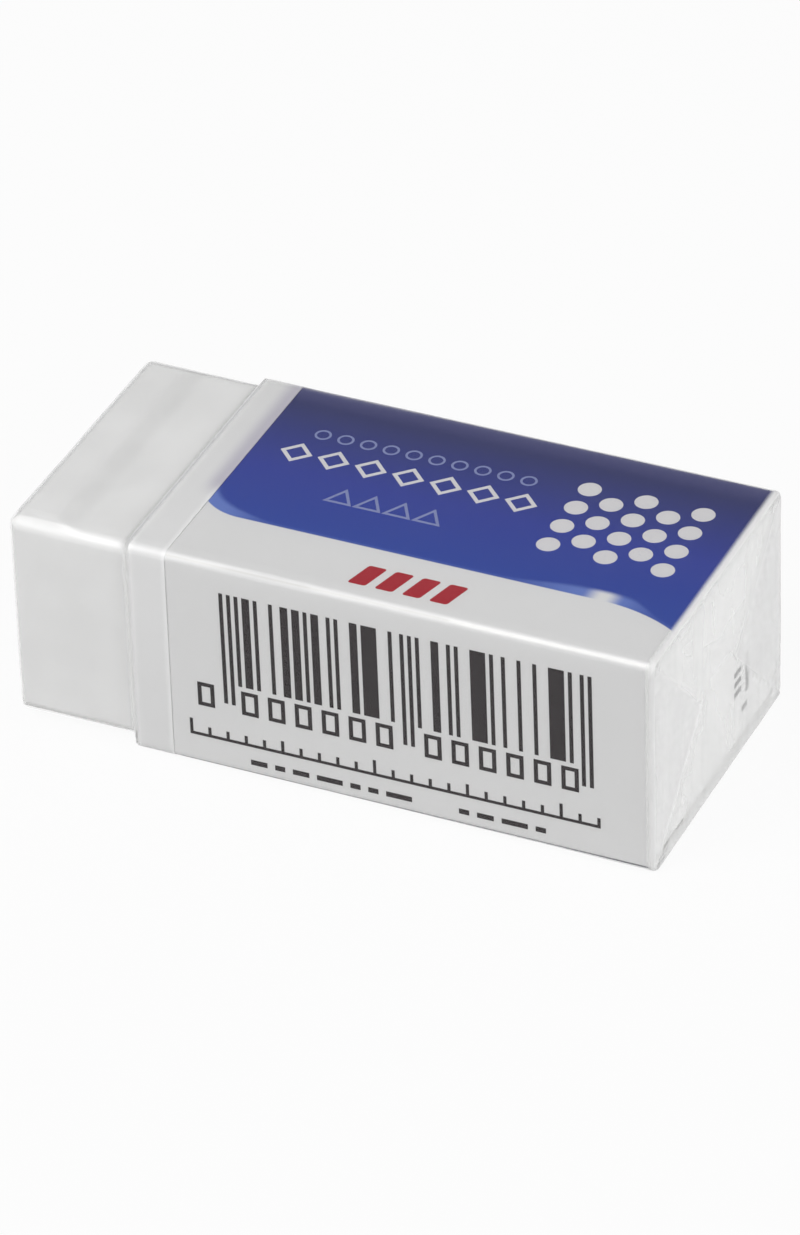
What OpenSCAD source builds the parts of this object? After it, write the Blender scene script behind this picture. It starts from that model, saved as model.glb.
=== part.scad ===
// Small block eraser in a folded card sleeve, sealed in a clear film wrap.
// The block lies along X with its bare end at -X. The film's underside is z = 0,
// and the origin is under the middle of the wrapped block.

/* [Eraser block] */
// Length of the rubber block
eraser_l = 34.6; // [25:0.5:80]
// Width of the rubber block
eraser_w = 16.1; // [13:0.1:40]
// Height of the rubber block
eraser_h = 11.5; // [9:0.1:25]
// Radius of its four long edges
eraser_edge_r = 0.6; // [0.3:0.05:1.5]
// Radius of the edges round its two ends
eraser_end_r = 0.4; // [0.3:0.05:1.2]

/* [Card sleeve] */
// Thickness of the card
card_t = 0.22; // [0.15:0.01:0.5]
// Inside radius of the card's folds
fold_r = 0.2; // [0.1:0.05:0.5]
// Length of the block that the sleeve leaves bare
bare_l = 7.7; // [4:0.1:14]
// Clearance between the sleeve's end and the round edge of the film past it
sleeve_gap = 0.03; // [0.01:0.01:0.5]
// Width of the lap glued inside the bottom panel
lap_w = 12; // [4:0.5:12]
// Gap between the bottom panel's free edge and the back fold
lap_seam = 0.3; // [0.1:0.05:1]
// Clearance between the block and the card
card_gap = 0.05; // [0.02:0.01:0.3]

/* [Print] */
// Distance from the sleeve's front face to the edge of the blue field
field_edge = 4.3; // [2.5:0.1:7]
// Radius of the field's corner at the sleeve's end on the bare block
field_corner_r = 3; // [1:0.1:6]
// Radius of the sweep that takes its edge towards the front at the covered end
field_sweep_r = 8.5; // [5:0.5:20]
// Length of that sweep
field_sweep_l = 4.3; // [1:0.1:5]

/* [Tear strip] */
// Width of the tear strip
strip_w = 2; // [1.2:0.1:3.5]
// Thickness of the tear strip
strip_t = 0.05; // [0.03:0.01:0.15]
// How far the strip lies over the sleeve's end
strip_lap = 1; // [0.2:0.1:1.5]
// Clearance between the strip and the card under it, and the film over it
strip_gap = 0.01; // [0.005:0.005:0.05]

/* [Film wrap] */
// Thickness of the clear film
film_t = 0.05; // [0.03:0.01:0.08]
// Clearance between the film and the bare block
film_gap = 0.05; // [0.02:0.01:0.2]
// Clearance between the tear strip and the round edge of the film's shoulder
shoulder_gap = 0.02; // [0.01:0.01:0.3]
// Inside radius of the film's shoulder, where it steps down to the bare block
shoulder_r = 0.2; // [0.1:0.05:0.5]
// Inside radius of the film's edges round the covered end
film_end_r = 0.2; // [0.1:0.05:0.4]
// How far the two end flaps overlap at the middle of each end
flap_lap = 1.6; // [0.4:0.1:4]
// Width of the film's own overlap along the back
seam_w = 4; // [1:0.5:6]

/* [Hidden] */
$fn = 48;

// Room between the card and the film, which the tear strip takes up
strip_room = strip_t + 2 * strip_gap;

// Heights of the sleeve's underside and of the block's, which lies on the lap
sleeve_z = film_t + strip_room;
eraser_z = sleeve_z + 2 * card_t + card_gap;

// Outside of the sleeve's section
sleeve_w = eraser_w + 2 * (card_gap + card_t);
sleeve_h = eraser_h + 2 * card_gap + 3 * card_t;
sleeve_r = fold_r + card_t;

// Where the sleeve and the strip lie along X, and where the film ends
wrap_x1 = eraser_l / 2 + film_gap;
sleeve_x0 = bare_l - eraser_l / 2;
sleeve_x1 = wrap_x1 - film_end_r - sleeve_gap;
strip_x1 = sleeve_x0 + strip_lap;
strip_x0 = strip_x1 - strip_w;

// Inside of the film round the sleeve, up to the block's covered end
wrap_x0 = strip_x0 - shoulder_gap - shoulder_r;
wrap_w = sleeve_w + 2 * strip_room;
wrap_h = sleeve_h + 2 * strip_room;
wrap_r = sleeve_r + strip_room;

// Inside of the film round the bare block
tail_x0 = -wrap_x1;
tail_w = eraser_w + 2 * film_gap;
tail_h = eraser_h + 2 * film_gap;
tail_z = eraser_z - film_gap;
tail_r = eraser_edge_r + film_gap;
tail_end_r = eraser_end_r + film_gap;

// The film's overlap stands proud of the back alone, so the section's middle lies in front of the origin
mid_y = -film_t / 2;

// A little past a face, so that a cut goes clean through it
past = 2;

// Rectangle with round corners, its lower left corner at the origin
module round_rect(w, h, r) {
    translate([r, 0]) square([w - 2 * r, h]);
    translate([0, r]) square([w, h - 2 * r]);
    for (x = [r, w - r], y = [r, h - r]) translate([x, y]) circle(r);
}

// Prism along X from x0 to x1, its section drawn in Y and Z
module along_x(x0, x1) {
    translate([x0, mid_y, 0]) rotate([90, 0, 90]) linear_extrude(x1 - x0) children();
}

// Rectangle with corners of radius r0 at its left end and r1 at its right
module end_rect(l, w, r0, r1) {
    intersection() {
        round_rect(l + past, w, r0);
        translate([-past, 0]) round_rect(l + past, w, r1);
    }
}

// Block from x0 to x1 with its underside at z, round along its edges and at its two ends
module round_block(x0, x1, w, h, z, edge_r, r0, r1) {
    intersection() {
        along_x(x0, x1) translate([-w / 2, z]) round_rect(w, h, edge_r);
        translate([x0, mid_y + w / 2, z])
        rotate([90, 0, 0]) linear_extrude(w) end_rect(x1 - x0, h, r0, r1);
        translate([x0, mid_y - w / 2, z]) linear_extrude(h) end_rect(x1 - x0, w, r0, r1);
    }
}

// Rubber block with softened edges
module eraser() {
    color("whitesmoke")
    round_block(-eraser_l / 2, eraser_l / 2, eraser_w, eraser_h, eraser_z,
        eraser_edge_r, eraser_end_r, eraser_end_r);
}

// Ring of card of outside height h that stands on z
module card_ring(h, z) {
    difference() {
        translate([-sleeve_w / 2, z]) round_rect(sleeve_w, h, sleeve_r);
        translate([card_t - sleeve_w / 2, z + card_t])
        round_rect(sleeve_w - 2 * card_t, h - 2 * card_t, fold_r);
    }
}

// The sleeve's section: one sheet folded round the block, its lap glued inside the bottom panel
module sleeve_section() {
    back_fold_y = sleeve_w / 2 - sleeve_r;
    intersection() {
        card_ring(sleeve_h, sleeve_z);
        translate([-sleeve_w, 0]) square([sleeve_w + back_fold_y - lap_seam, wrap_h]);
    }
    intersection() {
        card_ring(sleeve_h - card_t, sleeve_z + card_t);
        translate([back_fold_y - lap_w, 0]) square([sleeve_w, wrap_h]);
    }
}

// Where the blue field lies: the back of the top panel, and the back panel down to its lower fold
module blue_field() {
    edge_y = mid_y - sleeve_w / 2 + field_edge;
    corner_x = sleeve_x0 + field_corner_r;
    sweep_x = sleeve_x1 - field_sweep_l;
    translate([0, 0, sleeve_z + sleeve_r])
    linear_extrude(sleeve_h) {
        translate([corner_x, edge_y]) square([sleeve_x1 + past - corner_x, sleeve_w]);
        translate([sleeve_x0 - past, edge_y + field_corner_r]) square(sleeve_w);
        translate([corner_x, edge_y + field_corner_r]) circle(field_corner_r);
        difference() {
            translate([sweep_x, edge_y - field_sweep_r])
            square([field_sweep_l + past, field_sweep_r]);
            translate([sweep_x, edge_y - field_sweep_r]) circle(field_sweep_r, $fn = 180);
        }
    }
}

// Folded card sleeve, open at both ends
module sleeve() {
    color("white")
    difference() {
        along_x(sleeve_x0, sleeve_x1) sleeve_section();
        blue_field();
    }
    color("royalblue")
    intersection() {
        along_x(sleeve_x0, sleeve_x1) sleeve_section();
        blue_field();
    }
}

// Narrow strip round the sleeve's end, inside the film, that tears the wrap open
module tear_strip() {
    w = sleeve_w + 2 * strip_gap;
    h = sleeve_h + 2 * strip_gap;
    r = sleeve_r + strip_gap;
    color("lavender")
    along_x(strip_x0, strip_x1)
    translate([-w / 2, sleeve_z - strip_gap])
    difference() {
        translate([-strip_t, -strip_t]) round_rect(w + 2 * strip_t, h + 2 * strip_t, r + strip_t);
        round_rect(w, h, r);
    }
}

// Inside of the film round the sleeve, or its outside where t is the film's thickness
module wrap_space(t, end_t) {
    round_block(wrap_x0 - t, wrap_x1 + end_t, wrap_w + 2 * t, wrap_h + 2 * t, film_t - t,
        wrap_r + t, shoulder_r + t, film_end_r + t);
}

// Inside of the film round the bare block, or its outside, run on into the space round the sleeve
module tail_space(t, end_t) {
    round_block(tail_x0 - end_t, strip_x1, tail_w + 2 * t, tail_h + 2 * t, tail_z - t,
        tail_r + t, tail_end_r + t, shoulder_r + t);
}

// Outline in Y and Z of an end flap folded up from z: its sides run in at 45 degrees
module flap_outline(w, h, z) {
    translate([-w / 2, z])
    intersection() {
        square([w, h / 2 + flap_lap / 2]);
        polygon([[0, 0], [w, 0], [w / 2, w / 2]]);
    }
}

// The two end flaps of a wrapped block between x0 and x1: children(0) is the block out to the
// upper flap, which is folded down first, and children(1) out to the lower flap over it
module end_flaps(x0, x1, w, h, z) {
    intersection() {
        children(0);
        along_x(x0, x1) translate([0, h + 2 * z]) mirror([0, 1]) flap_outline(w, h, z);
    }
    intersection() {
        children(1);
        along_x(x0, x1) flap_outline(w, h, z);
    }
}

// The film's own overlap along the back, heat sealed on the panel under it
module back_seam(x0, x1, w, h, z) {
    translate([x0, mid_y + w / 2, z + (h - seam_w) / 2]) cube([x1 - x0, film_t, seam_w]);
}

// Clear film folded round everything, closed by an envelope fold at each end
module film_wrap() {
    wrap_out_w = wrap_w + 2 * film_t;
    wrap_out_h = wrap_h + 2 * film_t;
    tail_out_w = tail_w + 2 * film_t;
    tail_out_h = tail_h + 2 * film_t;
    tail_out_z = tail_z - film_t;
    color("aliceblue", 0.3)
    difference() {
        union() {
            wrap_space(film_t, film_t);
            tail_space(film_t, film_t);
            end_flaps(0, wrap_x1 + past, wrap_out_w, wrap_out_h, 0) {
                wrap_space(film_t, 2 * film_t);
                wrap_space(film_t, 3 * film_t);
            }
            end_flaps(tail_x0 - past, wrap_x0, tail_out_w, tail_out_h, tail_out_z) {
                tail_space(film_t, 2 * film_t);
                tail_space(film_t, 3 * film_t);
            }
            back_seam(wrap_x0 + shoulder_r, wrap_x1 - film_end_r, wrap_out_w, wrap_out_h, 0);
            back_seam(tail_x0 + tail_end_r, wrap_x0, tail_out_w, tail_out_h, tail_out_z);
        }
        wrap_space(0, 0);
        tail_space(0, 0);
    }
}

eraser();
sleeve();
tear_strip();
film_wrap();
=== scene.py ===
"""Looks of a small block eraser in a printed card sleeve, sealed in a clear film wrap.

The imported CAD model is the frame: the block lies along X with its bare end at -X, and stands on
z = 0. Pieces are modelled in metres in that frame, with sizes written as millimetres times MM.
Finishes work in plain millimetres, apart from the depths of grain and fibre.
"""

import logging
import math
import random
from collections.abc import Callable, Iterable, Iterator
from contextlib import contextmanager
from dataclasses import dataclass, field
from enum import Enum

import bmesh
import bpy
from mathutils import Matrix, Vector, noise


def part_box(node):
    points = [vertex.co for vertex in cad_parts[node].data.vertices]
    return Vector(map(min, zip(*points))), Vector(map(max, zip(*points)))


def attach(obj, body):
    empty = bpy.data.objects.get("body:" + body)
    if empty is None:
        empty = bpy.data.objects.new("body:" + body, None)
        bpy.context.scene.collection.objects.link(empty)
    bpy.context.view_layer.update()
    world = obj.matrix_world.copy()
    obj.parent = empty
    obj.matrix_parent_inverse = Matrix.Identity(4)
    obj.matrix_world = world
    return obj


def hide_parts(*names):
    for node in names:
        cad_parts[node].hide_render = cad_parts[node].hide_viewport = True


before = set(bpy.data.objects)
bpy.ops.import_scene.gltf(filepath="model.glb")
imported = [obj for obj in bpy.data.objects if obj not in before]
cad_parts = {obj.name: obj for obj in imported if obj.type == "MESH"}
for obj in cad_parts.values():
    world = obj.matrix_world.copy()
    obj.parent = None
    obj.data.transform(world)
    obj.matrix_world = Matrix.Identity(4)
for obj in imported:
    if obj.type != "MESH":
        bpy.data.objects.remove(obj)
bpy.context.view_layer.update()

MM = 0.001
PER_MM = 1 / MM
NEAR = 0.01 * MM
TINY = 1e-9
QUARTER_TURN = math.pi / 2
WHITE_LIGHT = (1.0, 1.0, 1.0, 1.0)
WHOLE_OBJECT = "root"

log = logging.getLogger("eraser")

Colour = tuple[float, float, float]
Span = tuple[float, float]
Number = "float | Value"


def smooth_step(start: float, end: float, number: float) -> float:
    """Rises smoothly from 0 at start to 1 at end, which may be the lower one."""
    share = min(1.0, max(0.0, (number - start) / (end - start)))
    return share * share * (3 - 2 * share)


class Axis(Enum):
    """The three directions of the frame."""

    X = 0
    Y = 1
    Z = 2

    @property
    def vector(self) -> Vector:
        """Unit vector along the axis."""
        return Vector([float(i == self.value) for i in range(3)])


class Lit(Enum):
    """Light Path outputs for the rays that a viewer sees by."""

    CAMERA = "Is Camera Ray"
    GLOSSY = "Is Glossy Ray"
    TRANSMISSION = "Is Transmission Ray"


class Value:
    """A number socket of a node tree that takes Python's arithmetic operators."""

    def __init__(self, recipe: "Recipe", socket: bpy.types.NodeSocket) -> None:
        """Wraps an output socket; the recipe adds its Math nodes."""
        self.recipe = recipe
        self.socket = socket

    def _math(self, operation: str, *numbers: Number) -> "Value":
        """Adds one Math node, with Blender's name of the operation and its inputs in order."""
        return self.recipe.node("ShaderNodeMath", {"operation": operation}, dict(enumerate(numbers)))

    def __add__(self, other: Number) -> "Value":
        """Sum."""
        return self._math("ADD", self, other)

    def __radd__(self, other: float) -> "Value":
        """Sum with a plain number first."""
        return self._math("ADD", other, self)

    def __sub__(self, other: Number) -> "Value":
        """Difference."""
        return self._math("SUBTRACT", self, other)

    def __rsub__(self, other: float) -> "Value":
        """Difference from a plain number."""
        return self._math("SUBTRACT", other, self)

    def __mul__(self, other: Number) -> "Value":
        """Product."""
        return self._math("MULTIPLY", self, other)

    def __rmul__(self, other: float) -> "Value":
        """Product with a plain number first."""
        return self._math("MULTIPLY", other, self)

    def __truediv__(self, other: Number) -> "Value":
        """Quotient."""
        return self._math("DIVIDE", self, other)

    def __pow__(self, power: float) -> "Value":
        """Power."""
        return self._math("POWER", self, power)

    def __abs__(self) -> "Value":
        """Size without its sign."""
        return self._math("ABSOLUTE", self)

    def root(self) -> "Value":
        """Square root."""
        return self._math("SQRT", self)

    def most(self, other: Number) -> "Value":
        """The larger of two numbers."""
        return self._math("MAXIMUM", self, other)

    def least(self, other: Number) -> "Value":
        """The smaller of two numbers."""
        return self._math("MINIMUM", self, other)

    def rises(self, start: float, end: float, at: float = 0.0) -> "Value":
        """Smooth step.

        Args:
            start: The number at which the step begins.
            end: The number at which it is done, which may be the lower one.
            at: The place that both are counted from.

        Returns:
            0 before start, 1 past end.
        """
        low, high = sorted((at + start, at + end))
        to_low, to_high = (0.0, 1.0) if start < end else (1.0, 0.0)
        return self.recipe.node(
            "ShaderNodeMapRange",
            {"interpolation_type": "SMOOTHSTEP"},
            {"Value": self, "From Min": low, "From Max": high, "To Min": to_low, "To Max": to_high},
        )


class Recipe:
    """A node tree under construction."""

    def __init__(self, tree: bpy.types.NodeTree) -> None:
        """Empties the tree of a material or a world."""
        self.tree = tree
        tree.nodes.clear()

    def node(
        self,
        kind: str,
        settings: dict[str, object] | None = None,
        inputs: dict[str | int, object] | None = None,
        output: str | int = 0,
    ) -> Value:
        """Adds a node.

        Args:
            kind: Blender's type name of the node.
            settings: Its properties, set before its sockets. "stops" fills a colour ramp.
            inputs: Values or links of its sockets, by name or number.
            output: The socket that is handed back.

        Returns:
            That output socket.
        """
        made = self.tree.nodes.new(kind)
        for name, setting in (settings or {}).items():
            if name == "stops":
                self._fill_ramp(made.color_ramp, setting)
            else:
                setattr(made, name, setting)
        for name, given in (inputs or {}).items():
            if isinstance(given, Value):
                self.tree.links.new(given.socket, made.inputs[name])
            else:
                made.inputs[name].default_value = given
        return Value(self, made.outputs[output])

    @staticmethod
    def _fill_ramp(ramp: bpy.types.ColorRamp, stops: tuple[tuple[float, Colour], ...]) -> None:
        """Sets the stops of a colour ramp.

        Args:
            ramp: The ramp, which starts with two stops.
            stops: Position and colour of each, in order.
        """
        while len(ramp.elements) < len(stops):
            ramp.elements.new(1.0)
        for element, (position, colour) in zip(ramp.elements, stops):
            element.position = position
            element.color = (*colour, 1.0)

    def mix(self, share: Number, first: object, second: object) -> Value:
        """Blends two colours or links: all of the first at a share of 0, of the second at 1."""
        ends = [x if isinstance(x, Value) else (*x, 1.0) for x in (first, second)]
        return self.node(
            "ShaderNodeMix", {"data_type": "RGBA"}, {0: share, 6: ends[0], 7: ends[1]}, output=2
        )

    def place(self) -> tuple[Value, Value, Value, Value]:
        """Place on the object.

        Returns:
            The point in millimetres, then its X, Y and Z.
        """
        metres = self.node("ShaderNodeTexCoord", output="Object")
        point = self.node(
            "ShaderNodeVectorMath", {"operation": "SCALE"}, {0: metres, "Scale": PER_MM}
        )
        parts = [self.node("ShaderNodeSeparateXYZ", None, {0: point}, output=i) for i in range(3)]
        return point, *parts

    def noise(self, point: Value, grain: float, detail: float = 2.0) -> Value:
        """Soft random number round 0.5, with blotches of grain millimetres in finer layers."""
        sockets = {"Vector": point, "Scale": 1 / grain, "Detail": detail}
        return self.node("ShaderNodeTexNoise", None, sockets)

    def bump(self, height: Value, depth: float) -> Value:
        """Normal of a surface relief, from its height as a share of a depth in metres."""
        return self.node("ShaderNodeBump", None, {"Strength": 1.0, "Distance": depth, "Height": height})

    def principled(self, **inputs: object) -> Value:
        """Principled shader, from its sockets' names with underscores for spaces."""
        sockets = {name.replace("_", " "): given for name, given in inputs.items()}
        return self.node("ShaderNodeBsdfPrincipled", None, sockets)

    def blend(self, share: Value, first: Value, second: Value) -> Value:
        """Blends two shaders: all of the first at a share of 0, of the second at 1."""
        return self.node("ShaderNodeMixShader", None, {0: share, 1: first, 2: second})

    def surface(self, shader: Value, kind: str = "ShaderNodeOutputMaterial") -> None:
        """Ends the tree with an output node that shows the shader."""
        output = self.tree.nodes.new(kind)
        self.tree.links.new(shader.socket, output.inputs["Surface"])


def new_material(name: str) -> tuple[bpy.types.Material, Recipe]:
    """Makes an empty material.

    Args:
        name: The finish's name.

    Returns:
        The material and the maker of its nodes.
    """
    material = bpy.data.materials.new(name)
    material.use_nodes = True
    return material, Recipe(material.node_tree)


@dataclass(frozen=True)
class RubberFinish:
    """White vinyl rubber: matt, with faint cloudy mottling and a moulded grain."""

    colour: Colour = (0.86, 0.86, 0.855)
    cloud_colour: Colour = (0.82, 0.82, 0.815)
    cloud: float = 3.2
    cloud_layers: float = 3.0
    cloud_span: Span = (0.35, 0.7)
    grain: float = 0.12
    grain_depth: float = 0.004 * MM
    roughness: float = 0.55
    unevenness: float = 0.15

    def material(self) -> bpy.types.Material:
        """Builds the material.

        Returns:
            The material.
        """
        material, recipe = new_material("white_rubber")
        point, *_ = recipe.place()
        clouds = recipe.noise(point, self.cloud, self.cloud_layers).rises(*self.cloud_span)
        grain = recipe.noise(point, self.grain, detail=1.0)
        recipe.surface(
            recipe.principled(
                Base_Color=recipe.mix(clouds, self.colour, self.cloud_colour),
                Roughness=self.roughness + self.unevenness * grain,
                Normal=recipe.bump(grain, self.grain_depth),
            )
        )
        return material


@dataclass(frozen=True)
class CardFinish:
    """Coated white card with a blue printed field that darkens towards the back, and a painted reflection
    of the film in lighter blue along its back fold.

    The field's front edge has a light blue line, wide near the edge's two ends and fine between
    them, and fades out to white just before the sweep. The underside is dark, and a dark band
    reaches a little up round its front fold.
    """

    card: "Sleeve"
    white: Colour = (0.77, 0.77, 0.77)
    core: Colour = (0.68, 0.675, 0.66)
    # The blues run from the field's front edge to the back. The last stop, lighter at the back fold, is a
    # painted reflection of the film.
    blues_and_back_sheen: tuple[tuple[float, Colour], ...] = (
        (0.0, (0.020, 0.058, 0.35)),
        (0.4, (0.028, 0.048, 0.32)),
        (0.86, (0.028, 0.034, 0.14)),
        (1.0, (0.085, 0.088, 0.22)),
    )
    light_blue: Colour = (0.14, 0.22, 0.58)
    underside: Colour = (0.05, 0.05, 0.08)
    field_blur: float = 0.04
    fold_blur: float = 0.02
    corner_blur: float = 0.1
    wander: float = 0.6
    fibre_floor: float = 0.4
    fibre_share: float = 0.5
    under_span: Span = (0.24, 0.16)
    under_rise: float = 0.1
    fine_line: float = 0.25
    wide_line: float = 0.95
    fine_strength: float = 0.22
    wide_strength: float = 0.7
    line_span: Span = (1.0, 0.55)
    line_top: Span = (-0.1, -0.05)
    corner_span: Span = (2.0, -1.2)
    sweep_span: Span = (-5.5, -0.8)
    fade_span: Span = (3.2, 0.6)
    narrow_span: Span = (3.4, 1.2)
    bleach_span: Span = (1.1, 0.1)
    skin: float = 0.12
    cut_span: Span = (0.01, 0.03)
    mottle: float = 0.25
    fibre: float = 0.09
    fibre_depth: float = 0.0015 * MM
    roughness: float = 0.42
    unevenness: float = 0.12
    gloss: float = 0.3

    def material(self) -> bpy.types.Material:
        """Builds the material.

        Returns:
            The material.
        """
        material, recipe = new_material("printed_card")
        point, x, y, z = recipe.place()
        card = self.card
        inside = self._inside_field(x, y)
        above_fold = z.rises(-self.fold_blur, self.fold_blur, at=card.back_print_z)
        outside = self._outside(x, y, z)
        mottling = recipe.noise(point, self.mottle)
        fibres = recipe.noise(point, self.fibre, detail=1.0)
        field = inside.rises(-self.field_blur, self.field_blur) * above_fold * outside
        depth = y + self.wander * (mottling - 0.5)
        blue = recipe.node(
            "ShaderNodeValToRGB",
            {"stops": self.blues_and_back_sheen},
            {0: (depth - card.edge_y) / (card.back_y - card.edge_y)},
        )
        blue = self._light_line(recipe, x, z, inside, blue)
        threads = (fibres - self.fibre_floor).most(0.0) * self.fibre_share
        white = recipe.mix(threads, self.white, self.core)
        rise = (x - card.start_x) * (self.under_rise / (card.end_x - card.start_x))
        # Dark on the underside and in a band up round the front fold, a little higher towards the covered
        # end.
        dark_under = (z - rise).rises(*self.under_span, at=card.bottom_z)
        white = recipe.mix(dark_under, white, self.underside)
        colour = recipe.mix(field, recipe.mix(outside, self.core, white), blue)
        recipe.surface(
            recipe.principled(
                Base_Color=colour,
                Roughness=self.roughness + self.unevenness * mottling,
                Specular_IOR_Level=self.gloss,
                Normal=recipe.bump(fibres, self.fibre_depth),
            )
        )
        return material

    def _light_line(self, recipe: Recipe, x: Value, z: Value, inside: Value, blue: Value) -> Value:
        """Lays the light blue line along the field's front edge.

        Args:
            recipe: The card's node tree.
            x: Place along the block in millimetres.
            z: Height.
            inside: Distance inside the field's edge.
            blue: The field's own colour.

        Returns:
            The field's colour with its line.
        """
        corner_x, sweep_x = self.card.corner[0], self.card.sweep[0]
        at_corner = x.rises(*self.corner_span, at=corner_x)
        at_sweep = x.rises(*self.sweep_span, at=sweep_x)
        wide = at_corner.most(at_sweep * x.rises(*self.fade_span, at=sweep_x))
        strength = self.fine_strength + self.wide_strength * wide
        narrow = x.rises(*self.narrow_span, at=sweep_x)
        reach = self.fine_line + (self.wide_line - self.fine_line) * at_corner.most(at_sweep * narrow)
        line = (inside / reach).rises(*self.line_span) * z.rises(*self.line_top, at=self.card.top_z)
        bleached = abs(x - sweep_x).rises(*self.bleach_span) * line
        return recipe.mix(bleached, recipe.mix(line * strength, blue, self.light_blue), self.white)

    def _inside_field(self, x: Value, y: Value) -> Value:
        """Distance inside the blue field: a straight edge, a round corner and a sweep.

        Args:
            x: Place along the block in millimetres.
            y: Place across it.

        Returns:
            The distance from the edge in millimetres, negative in front of it.
        """
        card = self.card
        (corner_x, corner_y), (sweep_x, sweep_y) = card.corner, card.sweep
        short_x, short_y = (corner_x - x).most(0.0), (corner_y - y).most(0.0)
        corner = card.field_corner_r - (short_x * short_x + short_y * short_y).root()
        past_x, past_y = (x - sweep_x).most(0.0), (y - sweep_y).most(0.0)
        sweep = (past_x * past_x + past_y * past_y).root() - card.field_sweep_r
        share = x.rises(-self.corner_blur, self.corner_blur, at=corner_x)
        return corner * (1 - share) + sweep * share

    def _outside(self, x: Value, y: Value, z: Value) -> Value:
        """Tells the card's printed outside from its inside and cut ends.

        Args:
            x: Place along the block in millimetres.
            y: Place across it.
            z: Height.

        Returns:
            1 on the outside, 0 elsewhere.
        """
        card = self.card
        shell = z.rises(-self.skin, -self.skin / 2, at=card.top_z)
        shell = shell.most(z.rises(self.skin, self.skin / 2, at=card.bottom_z))
        shell = shell.most(y.rises(self.skin, self.skin / 2, at=card.front_y))
        shell = shell.most(y.rises(-self.skin, -self.skin / 2, at=card.back_y))
        start, end = self.cut_span
        return shell * x.rises(-start, -end, at=card.end_x) * x.rises(start, end, at=card.start_x)


@dataclass(frozen=True)
class StripFinish:
    """Milky strip of plastic, with a painted highlight of lighter colour along its two edges, tinted
    where it lies over the blue.
    """

    card: "Sleeve"
    start_x: float
    end_x: float
    colour: Colour = (0.865, 0.865, 0.865)
    # Painted highlight: lighter colour along both edges of the strip.
    edge_highlight_colour: Colour = (0.925, 0.925, 0.925)
    tint: Colour = (0.60, 0.58, 0.66)
    tint_span: Span = (1.0, 2.6)
    tint_blur: float = 0.1
    alpha: float = 0.9
    edge_alpha: float = 0.5
    edge_width: float = 0.35
    streak: float = 0.35
    roughness: float = 0.35
    unevenness: float = 0.1

    def material(self) -> bpy.types.Material:
        """Builds the material.

        Returns:
            The material.
        """
        material, recipe = new_material("milky_strip")
        point, x, y, z = recipe.place()
        card = self.card
        streaks = recipe.noise(point, self.streak)
        edge = x.rises(self.edge_width, 0.0, at=self.start_x)
        edge = edge.most(x.rises(-self.edge_width, 0.0, at=self.end_x))
        # Painted highlight along both edges.
        colour = recipe.mix(edge, self.colour, self.edge_highlight_colour)
        over_blue = y.rises(*self.tint_span, at=card.edge_y)
        over_blue = over_blue * z.rises(0.0, self.tint_blur, at=card.back_print_z)
        over_blue = over_blue * x.rises(card.start_x - self.tint_blur, self.end_x - self.tint_blur)
        recipe.surface(
            recipe.principled(
                Base_Color=recipe.mix(over_blue, colour, self.tint),
                Roughness=self.roughness + self.unevenness * streaks,
                Alpha=self.alpha + self.edge_alpha * (1 - self.alpha) * edge,
            )
        )
        return material


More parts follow.
